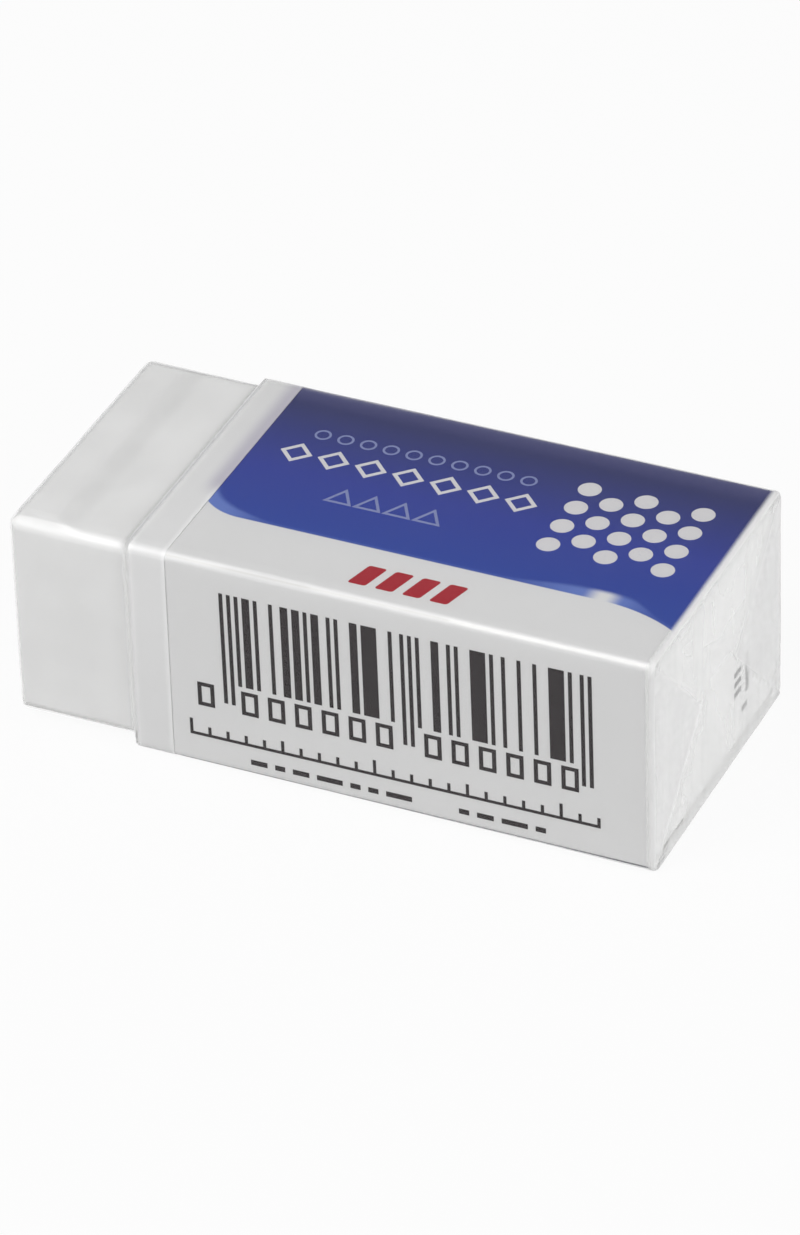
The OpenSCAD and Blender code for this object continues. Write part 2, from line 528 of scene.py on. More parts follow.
@dataclass(frozen=True)
class FilmFinish:
    """Clear film that shows by its gloss, with painted shade along the foot of its step and a painted
    whitish sheen on its folded ends.

    Its front edge falls away towards the bare block's corner, which widens the gloss there.
    """

    start_x: float
    end_x: float
    foot_x: float
    front_y: float
    top_z: float
    gloss: float = 0.022
    fresnel_power: float = 5
    ripple: float = 0.6
    ripple_depth: float = 0.0012
    roughness: float = 0.26
    unevenness: float = 0.08
    bare_roughness: float = 0.08
    bare_span: Span = (0.0, -0.4)
    # Painted shade: dark, dull film along the foot of the step, fainter on the front than on top.
    foot_shade_strength: float = 0.1
    foot_shade_width: float = 0.35
    foot_shade_below: float = 0.25
    foot_shade_top: Span = (-0.3, -0.1)
    foot_shade_colour: Colour = (0.3, 0.3, 0.32)
    foot_shade_roughness: float = 0.5
    # Painted sheen and highlights: whitish diffuse film, streaked on the folded ends, strong on the rim
    # round the covered end and faint along the step, stands in for the film's reflections there.
    sheen_paint_colour: Colour = (0.97, 0.97, 0.97)
    sheen_paint_roughness: float = 0.4
    rim_highlight: float = 0.6
    rim_highlight_span: Span = (-0.5, -0.15)
    rim_highlight_end: Span = (0.0, -0.04)
    end_sheen: float = 0.2
    end_sheen_span: Span = (-0.1, 0.0)
    end_sheen_floor: float = 0.3
    streak: float = 1.3
    streak_stretch: tuple[float, float, float] = (0.1, 1.0, 0.22)
    streak_span: Span = (0.3, 0.75)
    step_width: float = 0.2
    step_highlight: float = 0.15
    fall_ends: Span = (4.2, 2.2)
    fall_start: float = 0.15
    fall_least: float = 0.45
    fall_more: float = 0.7
    fall_slope: float = 0.85 / 1.5

    def material(self) -> bpy.types.Material:
        """Builds the material.

        Returns:
            The material.
        """
        material, recipe = new_material("clear_film")
        point, x, y, z = recipe.place()
        ripples = recipe.noise(point, self.ripple)
        relief = ripples * self.ripple_depth + self._fall(x, y)
        normal = recipe.bump(relief, MM)
        facing = recipe.node(
            "ShaderNodeLayerWeight", None, {"Blend": 0.5, "Normal": normal}, output="Facing"
        )
        mirror = self.gloss + (1 - self.gloss) * facing**self.fresnel_power
        clear = recipe.node("ShaderNodeBsdfTransparent", None, {"Color": WHITE_LIGHT})
        on_bare = x.rises(*self.bare_span, at=self.foot_x)
        shine = recipe.principled(
            Base_Color=WHITE_LIGHT,
            Metallic=1.0,
            Roughness=self.roughness + self.unevenness * ripples + self.bare_roughness * on_bare,
            Normal=normal,
        )
        glass = recipe.blend(mirror, clear, shine)
        # Painted shade along the foot of the step, fainter on the front face than on the top.
        on_top = self.foot_shade_below + (1 - self.foot_shade_below) * z.rises(*self.foot_shade_top, at=self.top_z)
        foot_shade = abs(x - self.foot_x).rises(self.foot_shade_width, 0.0) * self.foot_shade_strength * on_top
        shade_paint = recipe.principled(
            Base_Color=(*self.foot_shade_colour, 1.0), Roughness=self.foot_shade_roughness
        )
        with_foot_shade = recipe.blend(foot_shade, glass, shade_paint)
        # Painted sheen and highlights, as whitish diffuse film mixed over the rest.
        sheen_paint = recipe.principled(Base_Color=(*self.sheen_paint_colour, 1.0), Roughness=self.sheen_paint_roughness)
        recipe.surface(recipe.blend(self._painted_sheen(recipe, point, x), with_foot_shade, sheen_paint))
        return material

    def _fall(self, x: Value, y: Value) -> Value:
        """Height of the film's relief along the bare block's front edge.

        Args:
            x: Place along the block in millimetres.
            y: Place across it.

        Returns:
            The height in millimetres, level again where the fall is done.
        """
        near_end = x.rises(*self.fall_ends, at=self.start_x)
        reach = self.fall_least + self.fall_more * near_end
        share = ((y - (self.front_y + self.fall_start)) / reach).most(0.0).least(1.0)
        return share * share * (3 - 2 * share) * reach * near_end * self.fall_slope

    def _painted_sheen(self, recipe: Recipe, point: Value, x: Value) -> Value:
        """Painted sheen: the share of whitish diffuse film, streaked on the folded ends, with a painted
        highlight on the rim round the covered one and a faint painted highlight along the step.

        Args:
            recipe: The film's node tree.
            point: Place on the film in millimetres.
            x: Its place along the block.

        Returns:
            The share of milk.
        """
        drawn = recipe.node(
            "ShaderNodeVectorMath", {"operation": "MULTIPLY"}, {0: point, 1: self.streak_stretch}
        )
        streaks = recipe.noise(drawn, self.streak, detail=1.0).rises(*self.streak_span)
        streaked = self.end_sheen_floor + (1 - self.end_sheen_floor) * streaks
        folded = abs(x).rises(*self.end_sheen_span, at=self.end_x) * self.end_sheen * streaked
        rim_highlight = x.rises(*self.rim_highlight_span, at=self.end_x)
        rim_highlight = rim_highlight * x.rises(*self.rim_highlight_end, at=self.end_x) * self.rim_highlight
        from_step = abs(x - (self.foot_x + self.step_width / 2))
        step = from_step.rises(self.step_width * 1.5, self.step_width)
        return folded.most(rim_highlight).most(step * self.step_highlight)


@dataclass(frozen=True)
class InkFinish:
    """Printed ink, a little uneven where the card's grain shows through."""

    name: str
    colour: Colour
    thin: Colour
    gloss: float = 0.5
    grain: float = 0.16
    thin_span: Span = (0.55, 0.8)
    roughness: float = 0.4
    unevenness: float = 0.1

    def material(self) -> bpy.types.Material:
        """Builds the material.

        Returns:
            The material.
        """
        material, recipe = new_material(self.name)
        point, *_ = recipe.place()
        grain = recipe.noise(point, self.grain)
        recipe.surface(
            recipe.principled(
                Base_Color=recipe.mix(grain.rises(*self.thin_span), self.colour, self.thin),
                Roughness=self.roughness + self.unevenness * grain,
                Specular_IOR_Level=self.gloss,
            )
        )
        return material


class Ink(Enum):
    """The sleeve's printing inks."""

    BLACK = InkFinish("black_ink", (0.022, 0.016, 0.018), (0.034, 0.028, 0.031), gloss=0.1)
    GREY = InkFinish("grey_ink", (0.02, 0.02, 0.022), (0.14, 0.14, 0.145), gloss=0.1)
    RED = InkFinish("red_ink", (0.40, 0.012, 0.025), (0.46, 0.025, 0.04), gloss=0.25)
    PALE_BLUE = InkFinish("pale_blue_ink", (0.24, 0.28, 0.52), (0.20, 0.23, 0.46))
    WHITE = InkFinish("white_ink", (0.74, 0.73, 0.74), (0.66, 0.66, 0.70))


class Bench:
    """Blender's modelling operators, used as by hand on one piece at a time."""

    @staticmethod
    def clear() -> None:
        """Leaves edit mode and selects nothing."""
        if bpy.context.object and bpy.context.object.mode != "OBJECT":
            bpy.ops.object.mode_set(mode="OBJECT")
        bpy.ops.object.select_all(action="DESELECT")

    @staticmethod
    def pick(piece: bpy.types.Object) -> None:
        """Selects one piece and makes it the active one.

        Args:
            piece: The piece.
        """
        Bench.clear()
        bpy.context.view_layer.objects.active = piece
        piece.select_set(True)

    @staticmethod
    @contextmanager
    def edit(piece: bpy.types.Object) -> Iterator[None]:
        """Edit mode on one piece, with all of it selected at the start.

        Args:
            piece: The piece.

        Yields:
            Nothing.
        """
        Bench.pick(piece)
        bpy.ops.object.mode_set(mode="EDIT")
        bpy.ops.mesh.select_all(action="SELECT")
        yield
        bpy.ops.object.mode_set(mode="OBJECT")

    @staticmethod
    def pick_faces(wanted: Callable[[Vector], bool]) -> None:
        """Selects faces in edit mode by the place of their middle.

        Args:
            wanted: Says whether a face with that middle is picked.
        """
        mesh = bpy.context.edit_object.data
        bpy.ops.mesh.select_mode(type="FACE")
        shape = bmesh.from_edit_mesh(mesh)
        for face in shape.faces:
            face.select_set(wanted(face.calc_center_median()))
        bmesh.update_edit_mesh(mesh)

    @staticmethod
    def clear_faces(wanted: Callable[[Vector], bool]) -> None:
        """Deletes faces in edit mode by the place of their middle."""
        Bench.pick_faces(wanted)
        bpy.ops.mesh.delete(type="FACE")

    @staticmethod
    def cut(axis: Axis, places: Iterable[float]) -> None:
        """Cuts all of the piece in edit mode across an axis.

        Args:
            axis: The axis that the cuts are square to.
            places: Where they lie along it.
        """
        for place in places:
            bpy.ops.mesh.select_all(action="SELECT")
            bpy.ops.mesh.bisect(plane_co=axis.vector * place, plane_no=axis.vector)

    @staticmethod
    def thicken(piece: bpy.types.Object, thickness: float) -> None:
        """Gives a sheet its thickness, inwards from its faces.

        Args:
            piece: The sheet.
            thickness: Its thickness.
        """
        Bench.pick(piece)
        modifier = piece.modifiers.new("wall", "SOLIDIFY")
        modifier.thickness = thickness
        modifier.offset = -1.0
        bpy.ops.object.modifier_apply(modifier=modifier.name)

    @staticmethod
    def settle(piece: bpy.types.Object, name: str) -> None:
        """Names a piece and puts its place into its mesh.

        Args:
            piece: The piece.
            name: Its name.
        """
        Bench.pick(piece)
        bpy.ops.object.transform_apply(location=True, rotation=True, scale=True)
        piece.name = name
        piece.data.name = name


@dataclass
class Sleeve:
    """The printed card sleeve, as the CAD node says it lies. Its places are in millimetres."""

    field_edge: float = 4.3
    field_corner_r: float = 3.0
    field_sweep_r: float = 8.5
    field_sweep_l: float = 4.3
    fold_r: float = 0.42
    start_x: float = field(init=False)
    end_x: float = field(init=False)
    front_y: float = field(init=False)
    back_y: float = field(init=False)
    bottom_z: float = field(init=False)
    top_z: float = field(init=False)

    def __post_init__(self) -> None:
        """Reads the sleeve's box from the frame."""
        low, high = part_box("sleeve")
        self.start_x, self.front_y, self.bottom_z = low * PER_MM
        self.end_x, self.back_y, self.top_z = high * PER_MM

    @property
    def edge_y(self) -> float:
        """Y of the blue field's front edge."""
        return self.front_y + self.field_edge

    @property
    def corner(self) -> tuple[float, float]:
        """Centre of the field's round corner, in X and Y."""
        return self.start_x + self.field_corner_r, self.edge_y + self.field_corner_r

    @property
    def sweep(self) -> tuple[float, float]:
        """Centre of the sweep that takes the edge forward, in X and Y."""
        return self.end_x - self.field_sweep_l, self.edge_y - self.field_sweep_r

    @property
    def back_print_z(self) -> float:
        """Height down to which the back panel is printed."""
        return self.bottom_z + self.fold_r

    def dress(self) -> None:
        """Gives the CAD sleeve its printed finish."""
        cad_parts["sleeve"].data.materials[0] = CardFinish(self).material()
        log.info("sleeve: printed card")


@dataclass
class Print:
    """Ink shapes that lie on the sleeve or on the block's end, under the film."""

    sleeve: Sleeve
    sunk: float = 0.005 * MM
    proud: float = 0.012 * MM

    @staticmethod
    def plate(
        middle: Vector, width: float, height: float, turn: tuple[float, float, float] = (0.0, 0.0, 0.0)
    ) -> bpy.types.Object:
        """Adds a flat rectangle of ink.

        Args:
            middle: Its middle.
            width: Its first side.
            height: Its second side.
            turn: Its turn from lying flat.

        Returns:
            The rectangle.
        """
        Bench.clear()
        bpy.ops.mesh.primitive_plane_add(size=1, location=middle, rotation=turn)
        plate = bpy.context.object
        plate.scale = (width, height, 1)
        bpy.ops.object.transform_apply(location=True, rotation=True, scale=True)
        return plate

    def finish(self, piece: bpy.types.Object, name: str, ink: Ink, out: Vector) -> None:
        """Gives flat ink its thickness, finish and place in the frame.

        Args:
            piece: A flat piece that lies on the card's face.
            name: The piece's name.
            ink: Its ink.
            out: The direction away from the card.
        """
        Bench.settle(piece, name)
        with Bench.edit(piece):
            bpy.ops.transform.translate(value=-self.sunk * out)
            bpy.ops.mesh.extrude_region_move(
                TRANSFORM_OT_translate={"value": (self.sunk + self.proud) * out}
            )
            bpy.ops.mesh.select_all(action="SELECT")
            bpy.ops.mesh.normals_make_consistent(inside=False)
        piece.data.materials.append(ink.value.material())
        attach(piece, WHOLE_OBJECT)
        log.info("%s: %d faces of ink", name, len(piece.data.polygons))


@dataclass
class FrontPrint(Print):
    """Dark bars, boxes, dashes and a millimetre scale on the front panel. They stand for nothing."""

    tilt: float = math.radians(0.5)
    start_x: float = -5.7 * MM
    end_x: float = 14.12 * MM
    top_z: float = 10.88 * MM
    bar_z: float = 5.52 * MM
    guard_z: float = 4.3 * MM
    module: float = 0.207 * MM
    bar_modules: tuple[int, ...] = (1, 1, 1, 2, 2, 3, 4)
    gap_modules: tuple[int, ...] = (1, 1, 2, 2, 3)
    seed: int = 7
    box_z: Span = (3.85 * MM, 5.25 * MM)
    box_width: float = 0.92 * MM
    box_pitch: float = 1.46 * MM
    box_stroke: float = 0.22 * MM
    boxes_a_half: int = 6
    box_start: float = 0.95 * MM
    lone_box_start: float = -1.45 * MM
    scale_x: Span = (-7.6 * MM, 14.6 * MM)
    scale_z: float = 1.98 * MM
    scale_line: float = 0.17 * MM
    ticks: tuple[tuple[int, float], ...] = ((10, 0.95 * MM), (5, 0.8 * MM), (1, 0.6 * MM))
    dash_groups: tuple[Span, ...] = ((-4.4 * MM, 5.2 * MM), (6.9 * MM, 12.0 * MM))
    dash_lengths: tuple[float, ...] = (0.55 * MM, 0.9 * MM, 1.4 * MM)
    dash_z: float = 0.9 * MM
    dash_height: float = 0.3 * MM
    dash_gap: float = 0.42 * MM
    least_dash: float = 0.5 * MM

    @property
    def y(self) -> float:
        """The front panel's face."""
        return self.sleeve.front_y * MM

    def build(self) -> None:
        """Builds the panel's print."""
        self.bars()
        self.boxes()
        self.scale()
        self.dashes()

    def bar_edges(self) -> list[tuple[float, float, bool]]:
        """Draws the bars' widths at random, between guard pairs at the ends and the middle.

        Returns:
            Start, end and whether it is a long guard bar, for each bar.
        """
        dice = random.Random(self.seed)
        count = round((self.end_x - self.start_x) / self.module)
        middle = count // 2
        guards = (0, 2, middle - 1, middle + 1, count - 3, count - 1)
        bars, place = [], 0
        while place < count:
            if place in guards:
                bars.append((place, place + 1, True))
                place += 2
                continue
            to_guard = min(g for g in guards if g > place) - place
            wide = min(dice.choice(self.bar_modules), to_guard - 1)
            if wide > 0:
                bars.append((place, place + wide, False))
            place += max(1, min(wide + dice.choice(self.gap_modules), to_guard))
        return [(self.start_x + a * self.module, self.start_x + b * self.module, g) for a, b, g in bars]

    def cut_out(
        self,
        name: str,
        wide: Span,
        high: Span,
        cuts: tuple[list[float], list[float]],
        bare: Callable[[Vector], bool],
    ) -> None:
        """Cuts shapes out of an upright sheet of ink, and turns them by the print's slight tilt.

        Args:
            name: The piece's name.
            wide: The sheet's left and right edges.
            high: Its lower and upper edges.
            cuts: Where it is cut along X, and along Z.
            bare: Says from a face's middle whether it is cleared away.
        """
        middle = Vector((sum(wide) / 2, self.y, sum(high) / 2))
        sheet = self.plate(middle, wide[1] - wide[0], high[1] - high[0], (QUARTER_TURN, 0.0, 0.0))
        centre = ((self.start_x + self.end_x) / 2, self.y, (self.guard_z + self.top_z) / 2)
        with Bench.edit(sheet):
            Bench.cut(Axis.X, cuts[0])
            Bench.cut(Axis.Z, cuts[1])
            Bench.clear_faces(bare)
            bpy.ops.mesh.select_all(action="SELECT")
            bpy.ops.transform.rotate(value=self.tilt, orient_axis="Y", center_override=centre)
        self.finish(sheet, name, Ink.BLACK, -Axis.Y.vector)

    def bars(self) -> None:
        """Cuts one sheet of ink into bars and clears the gaps."""
        bars = self.bar_edges()
        cuts = sorted({x for a, b, _ in bars for x in (a, b)})[1:-1]

        def bare(middle: Vector) -> bool:
            """Says whether a face lies between bars or below a short one.

            Args:
                middle: The face's middle.

            Returns:
                Whether it is cleared away.
            """
            for start, end, guard in bars:
                if start < middle.x < end:
                    return not guard and middle.z < self.bar_z
            return True

        wide, high = (self.start_x, bars[-1][1]), (self.guard_z, self.top_z)
        self.cut_out("dark_bars", wide, high, (cuts, [self.bar_z]), bare)

    def boxes(self) -> None:
        """Cuts a row of outlined boxes under the bars, one before them and six in each half."""
        width, stroke, (low_z, high_z) = self.box_width, self.box_stroke, self.box_z
        first = self.start_x + self.box_start
        starts = [first + i * self.box_pitch for i in range(self.boxes_a_half)]
        starts += [x + (self.end_x - self.start_x) / 2 for x in starts]
        starts.insert(0, self.start_x + self.lone_box_start)

        def bare(middle: Vector) -> bool:
            """Says whether a face lies between boxes or inside one.

            Args:
                middle: The face's middle.

            Returns:
                Whether it is cleared away.
            """
            for start in starts:
                if start < middle.x < start + width:
                    edge = min(middle.x - start, start + width - middle.x)
                    return min(edge, middle.z - low_z, high_z - middle.z) > stroke
            return True

        steps = (0.0, stroke, width - stroke, width)
        cuts = [start + step for start in starts for step in steps][1:-1]
        wide, high_cuts = (starts[0], starts[-1] + width), [low_z + stroke, high_z - stroke]
        self.cut_out("dark_boxes", wide, self.box_z, (cuts, high_cuts), bare)

    def scale(self) -> None:
        """Cuts a scale of millimetre ticks, every fifth and tenth one longer, with a base line."""
        (start_x, end_x), base_z, line = self.scale_x, self.scale_z, self.scale_line
        places = [start_x + i * MM for i in range(round((end_x - start_x) / MM) + 1)]
        heights = [next(h for n, h in self.ticks if i % n == 0) for i in range(len(places))]

        def bare(middle: Vector) -> bool:
            """Says whether a face is neither base line nor tick.

            Args:
                middle: The face's middle.

            Returns:
                Whether it is cleared away.
            """
            if middle.z < base_z + line:
                return False
            ticks = zip(places, heights)
            return not any(abs(middle.x - x) < line / 2 and middle.z < base_z + h for x, h in ticks)

        cuts = [x + s * line / 2 for x in places for s in (-1, 1)][1:-1]
        high_cuts = sorted({base_z + h for h in heights})[:-1] + [base_z + line]
        wide = (start_x - line / 2, places[-1] + line / 2)
        self.cut_out("dark_scale", wide, (base_z, base_z + max(heights)), (cuts, high_cuts), bare)

    def dashes(self) -> None:
        """Cuts a row of dashes of uneven lengths under the scale, in two groups."""
        dice = random.Random(self.seed)
        dashes = []
        for place, end_x in self.dash_groups:
            while place < end_x - self.least_dash:
                length = min(dice.choice(self.dash_lengths), end_x - place)
                dashes.append((place, place + length))
                place += length + self.dash_gap
        wide, high = (dashes[0][0], dashes[-1][1]), (self.dash_z, self.dash_z + self.dash_height)
        cuts = [x for dash in dashes for x in dash][1:-1]
        self.cut_out(
            "dark_dashes", wide, high, (cuts, []), lambda c: not any(a < c.x < b for a, b in dashes)
        )


@dataclass(frozen=True)
class ShapeRow:
    """A row of outlined regular shapes on the top panel."""

    name: str
    ink: Ink
    corners: int
    radius: float
    stroke: float
    first: Span
    count: int
    pitch: float


@dataclass
class TopPrint(Print):
    """White and pale shapes on the blue field, and red dashes on the white in front of it."""

    rows: tuple[ShapeRow, ...] = (
        ShapeRow(
            name="white_diamonds",
            ink=Ink.WHITE,
            corners=4,
            radius=0.8772 * MM,
            stroke=0.21 * MM,
            first=(-6.38 * MM, 2.35 * MM),
            count=7,
            pitch=2.04 * MM,
        ),
        ShapeRow(
            name="pale_rings",
            ink=Ink.PALE_BLUE,
            corners=24,
            radius=0.44 * MM,
            stroke=0.12 * MM,
            first=(-5.8 * MM, 4.3 * MM),
            count=10,
            pitch=1.25 * MM,
        ),
        ShapeRow(
            name="pale_triangles",
            ink=Ink.PALE_BLUE,
            corners=3,
            radius=0.9 * MM,
            stroke=0.15 * MM,
            first=(-2.6 * MM, -0.65 * MM),
            count=4,
            pitch=1.6 * MM,
        ),
    )
    dot_rows: tuple[int, ...] = (4, 3, 4, 3, 4)
    dot_r: float = 0.6 * MM
    dot_corners: int = 32
    dots_x: float = 8.55 * MM
    dots_y: float = 2.1 * MM
    dot_step: Span = (1.52 * MM, 1.75 * MM)
    dashes: int = 4
    dash_width: float = 0.95 * MM
    dash_height: float = 1.7 * MM
    dash_pitch: float = 1.45 * MM
    dash_slant: float = 0.45 * MM
    dash_corner_r: float = 0.14 * MM
    dash_x: float = 0.75 * MM
    dash_y: float = -6.35 * MM

    @property
    def z(self) -> float:
        """The top panel's face."""
        return self.sleeve.top_z * MM

    def build(self) -> None:
        """Builds the panel's print."""
        for row in self.rows:
            self.shape_row(row)
        self.dots()
        self.red_dashes()

    @staticmethod
    def copy_along(count: int, pitch: float) -> None:
        """Copies what is in edit mode along X.

        Args:
            count: How many there are in the end.
            pitch: The step from one to the next.
        """
        bpy.ops.mesh.select_mode(type="FACE")
        bpy.ops.mesh.select_all(action="SELECT")
        for _ in range(count - 1):
            bpy.ops.mesh.duplicate()
            bpy.ops.transform.translate(value=(pitch, 0, 0))

    def shape_row(self, row: ShapeRow) -> None:
        """Models one outlined shape and copies it along its row.

        Args:
            row: The shape and its row.
        """
        Bench.clear()
        bpy.ops.mesh.primitive_circle_add(
            vertices=row.corners, radius=row.radius, fill_type="NGON", location=(*row.first, self.z)
        )
        shape = bpy.context.object
        with Bench.edit(shape):
            bpy.ops.mesh.inset(thickness=row.stroke)
            bpy.ops.mesh.delete(type="FACE")
            self.copy_along(row.count, row.pitch)
        self.finish(shape, row.name, row.ink, Axis.Z.vector)

    def dots(self) -> None:
        """Adds staggered columns of round dots."""
        Bench.clear()
        step_x, step_y = self.dot_step
        for column, rows in enumerate(self.dot_rows):
            for row in range(rows):
                y = self.dots_y + (row - (rows - 1) / 2) * step_y
                bpy.ops.mesh.primitive_circle_add(
                    vertices=self.dot_corners,
                    radius=self.dot_r,
                    fill_type="NGON",
                    location=(self.dots_x + column * step_x, y, self.z),
                )
                if bpy.context.object.mode == "OBJECT":
                    dots = bpy.context.object
                    bpy.ops.object.transform_apply(location=True, rotation=True, scale=True)
                    bpy.ops.object.mode_set(mode="EDIT")
        bpy.ops.object.mode_set(mode="OBJECT")
        self.finish(dots, "white_dots", Ink.WHITE, Axis.Z.vector)

    def red_dashes(self) -> None:
        """Models one slanted red dash with soft corners and copies it along a short row."""
        middle = Vector((self.dash_x + self.dash_width / 2, self.dash_y, self.z))
        dash = self.plate(middle, self.dash_width, self.dash_height)
        with Bench.edit(dash):
            bpy.ops.mesh.select_mode(type="VERT")
            shape = bmesh.from_edit_mesh(dash.data)
            for vertex in shape.verts:
                vertex.select_set(vertex.co.y > self.dash_y)
            bmesh.update_edit_mesh(dash.data)
            bpy.ops.transform.translate(value=(self.dash_slant, 0, 0))
            bpy.ops.mesh.select_all(action="SELECT")
            bpy.ops.mesh.bevel(offset=self.dash_corner_r, segments=4, affect="VERTICES")
            self.copy_along(self.dashes, self.dash_pitch)
        self.finish(dash, "red_dashes", Ink.RED, Axis.Z.vector)


@dataclass
class EndPrint(Print):
    """Small smudged strokes on the block's covered end, seen through the folded film.

    Each one is given by the Y and Z of its middle, its width and its height.
    """

    strokes: tuple[tuple[float, float, float, float], ...] = (
        (3.85 * MM, 4.3 * MM, 0.38 * MM, 2.3 * MM),
        (2.6 * MM, 5.0 * MM, 0.85 * MM, 0.3 * MM),
        (2.6 * MM, 4.4 * MM, 0.85 * MM, 0.3 * MM),
        (2.6 * MM, 3.8 * MM, 0.85 * MM, 0.3 * MM),
        (3.5 * MM, 2.4 * MM, 0.7 * MM, 0.32 * MM),
    )

    def build(self) -> None:
        """Builds the strokes as flat plates on the end, joined into one piece."""
        end_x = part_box("eraser")[1].x
        upright = (QUARTER_TURN, 0.0, QUARTER_TURN)
        plates = [self.plate(Vector((end_x, y, z)), w, h, upright) for y, z, w, h in self.strokes]
        for plate in plates:
            plate.select_set(True)
        bpy.ops.object.join()
        self.finish(plates[-1], "end_dashes", Ink.GREY, Axis.X.vector)


@dataclass(frozen=True)
class Section:
    """An upright rectangle across the block: the outline of a sheet round it."""

    low_y: float
    high_y: float
    low_z: float
    high_z: float

    @classmethod
    def around(cls, node: str, off: float) -> "Section":
        """Outline that lies off a CAD node by a distance."""
        low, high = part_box(node)
        return cls(low.y - off, high.y + off, low.z - off, high.z + off)

    @property
    def middle(self) -> Vector:
        """Its middle, with X zero."""
        return Vector((0.0, (self.low_y + self.high_y) / 2, (self.low_z + self.high_z) / 2))

    @property
    def width(self) -> float:
        """Its size along Y."""
        return self.high_y - self.low_y

    @property
    def height(self) -> float:
        """Its size along Z."""
        return self.high_z - self.low_z


@dataclass
class Skin:
    """A thin sheet folded round the sleeve: how far off the card, how thick, how tight its folds."""

    off_card: float
    thickness: float
    fold_r: float

    def box(self, start_x: float, end_x: float) -> bpy.types.Object:
        """Models the sheet as a closed box round the sleeve.

        Args:
            start_x: Its end towards the bare block.
            end_x: Its other end.

        Returns:
            The box.
        """
        card = Section.around("sleeve", self.off_card)
        Bench.clear()
        middle = card.middle + Axis.X.vector * (start_x + end_x) / 2
        bpy.ops.mesh.primitive_cube_add(
            size=1, location=middle, scale=(end_x - start_x, card.width, card.height)
        )
        bpy.ops.object.transform_apply(location=True, rotation=True, scale=True)
        return bpy.context.object

    @staticmethod
    def round_edges(wanted: Callable[[Vector, Vector], bool], radius: float, segments: int) -> None:
        """Bevels edges in edit mode.

        Args:
            wanted: Says from an edge's two ends whether it is rounded.
            radius: How far the rounding reaches on each side.
            segments: Its number of steps.
        """
        mesh = bpy.context.edit_object.data
        bpy.ops.mesh.select_mode(type="EDGE")
        bpy.ops.mesh.select_all(action="DESELECT")
        shape = bmesh.from_edit_mesh(mesh)
        for edge in shape.edges:
            edge.select_set(wanted(*(v.co for v in edge.verts)))
        bmesh.update_edit_mesh(mesh)
        bpy.ops.mesh.bevel(offset=radius, segments=segments, affect="EDGES")

    def round_long_edges(self) -> None:
        """Rounds the four folds that run along the block."""
        self.round_edges(lambda a, b: abs(a.x - b.x) > 10 * NEAR, self.fold_r, segments=6)

    def round_ring(self, x: float, radius: float, segments: int) -> None:
        """Rounds the edges that ring the sheet at one place along the block."""
        self.round_edges(lambda a, b: max(abs(a.x - x), abs(b.x - x)) < NEAR / 2, radius, segments)


